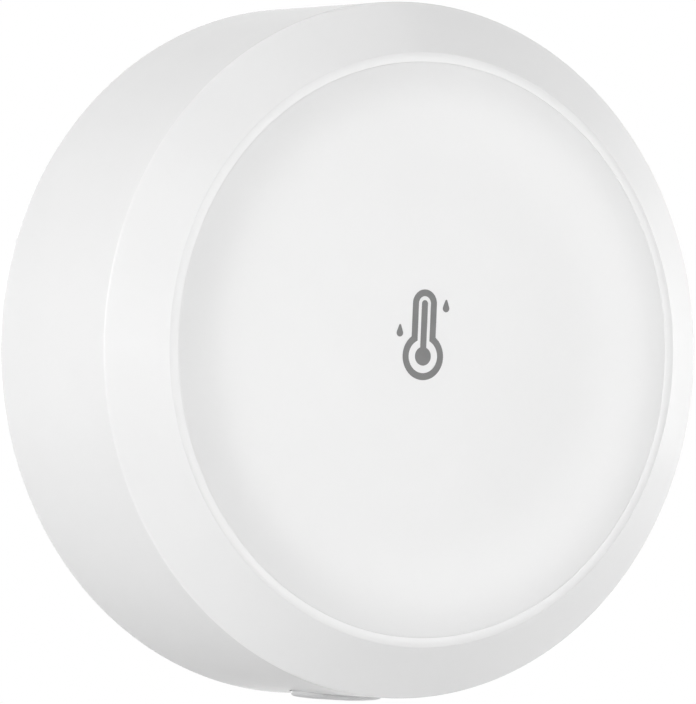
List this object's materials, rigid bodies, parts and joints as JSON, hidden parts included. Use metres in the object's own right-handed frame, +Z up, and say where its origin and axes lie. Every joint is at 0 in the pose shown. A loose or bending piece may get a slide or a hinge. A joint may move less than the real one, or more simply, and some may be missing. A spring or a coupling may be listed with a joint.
{
  "type": "temperature humidity sensor",
  "caption": "Round wall-mounted temperature and humidity sensor: bevelled white housing with a dished face, side push button and battery bay, on a stick-on vented rear cover.",
  "frame": {"origin": "centre of the adhesive pad's rear face, on the wall", "axes": "+Z up on the wall, the face looks along -Y, +X to the right of someone facing it"},
  "size_m": [0.06, 0.0219, 0.0604],
  "materials": {
    "shell_plastic": "satin",
    "button_plastic": "frosted",
    "pad_foam": "foam",
    "tray_plastic": "matte",
    "cell_jacket": "satin",
    "contact_metal": "nickel plated",
    "board_laminate": "solder resist",
    "radio_laminate": "solder resist",
    "shield_metal": "satin",
    "chip_plastic": "matte",
    "led_resin": "clear",
    "switch_plastic": "matte",
    "plunger_plastic": "satin",
    "capacitor_sleeve": "gloss",
    "screw_metal": "zinc plated",
    "print_ink": "matte"
  },
  "bodies": {
    "base": {"rear_cover": "shell_plastic", "adhesive_pad": "pad_foam"},
    "sensor_body": {"housing": "shell_plastic", "battery_tray": "tray_plastic", "cell_upper": "cell_jacket", "cell_lower": "cell_jacket", "positive_contact": "contact_metal", "negative_contact": "contact_metal", "bridge_contact": "contact_metal", "negative_spring": "contact_metal", "bridge_spring": "contact_metal", "circuit_board": "board_laminate", "radio_board": "radio_laminate", "radio_shield": "shield_metal", "humidity_sensor": "chip_plastic", "status_led": "led_resin", "tact_switch": "switch_plastic", "switch_bracket": "contact_metal", "bulk_capacitor": "capacitor_sleeve", "chip_components": "chip_plastic", "tray_screws": "screw_metal"},
    "button": {"button": "button_plastic", "switch_plunger": "plunger_plastic"}
  },
  "joints": [
    {"name": "housing_pull", "type": "slide", "parent": "base", "child": "sensor_body", "axis": [0, -1, 0], "range_m": [0, 0.03]},
    {"name": "button_press", "type": "slide", "parent": "sensor_body", "child": "button", "axis": [0, 0, 1], "range_m": [0, 0.0004], "stiffness_N_per_m": 2000, "springref_m": -0.0003}
  ]
}
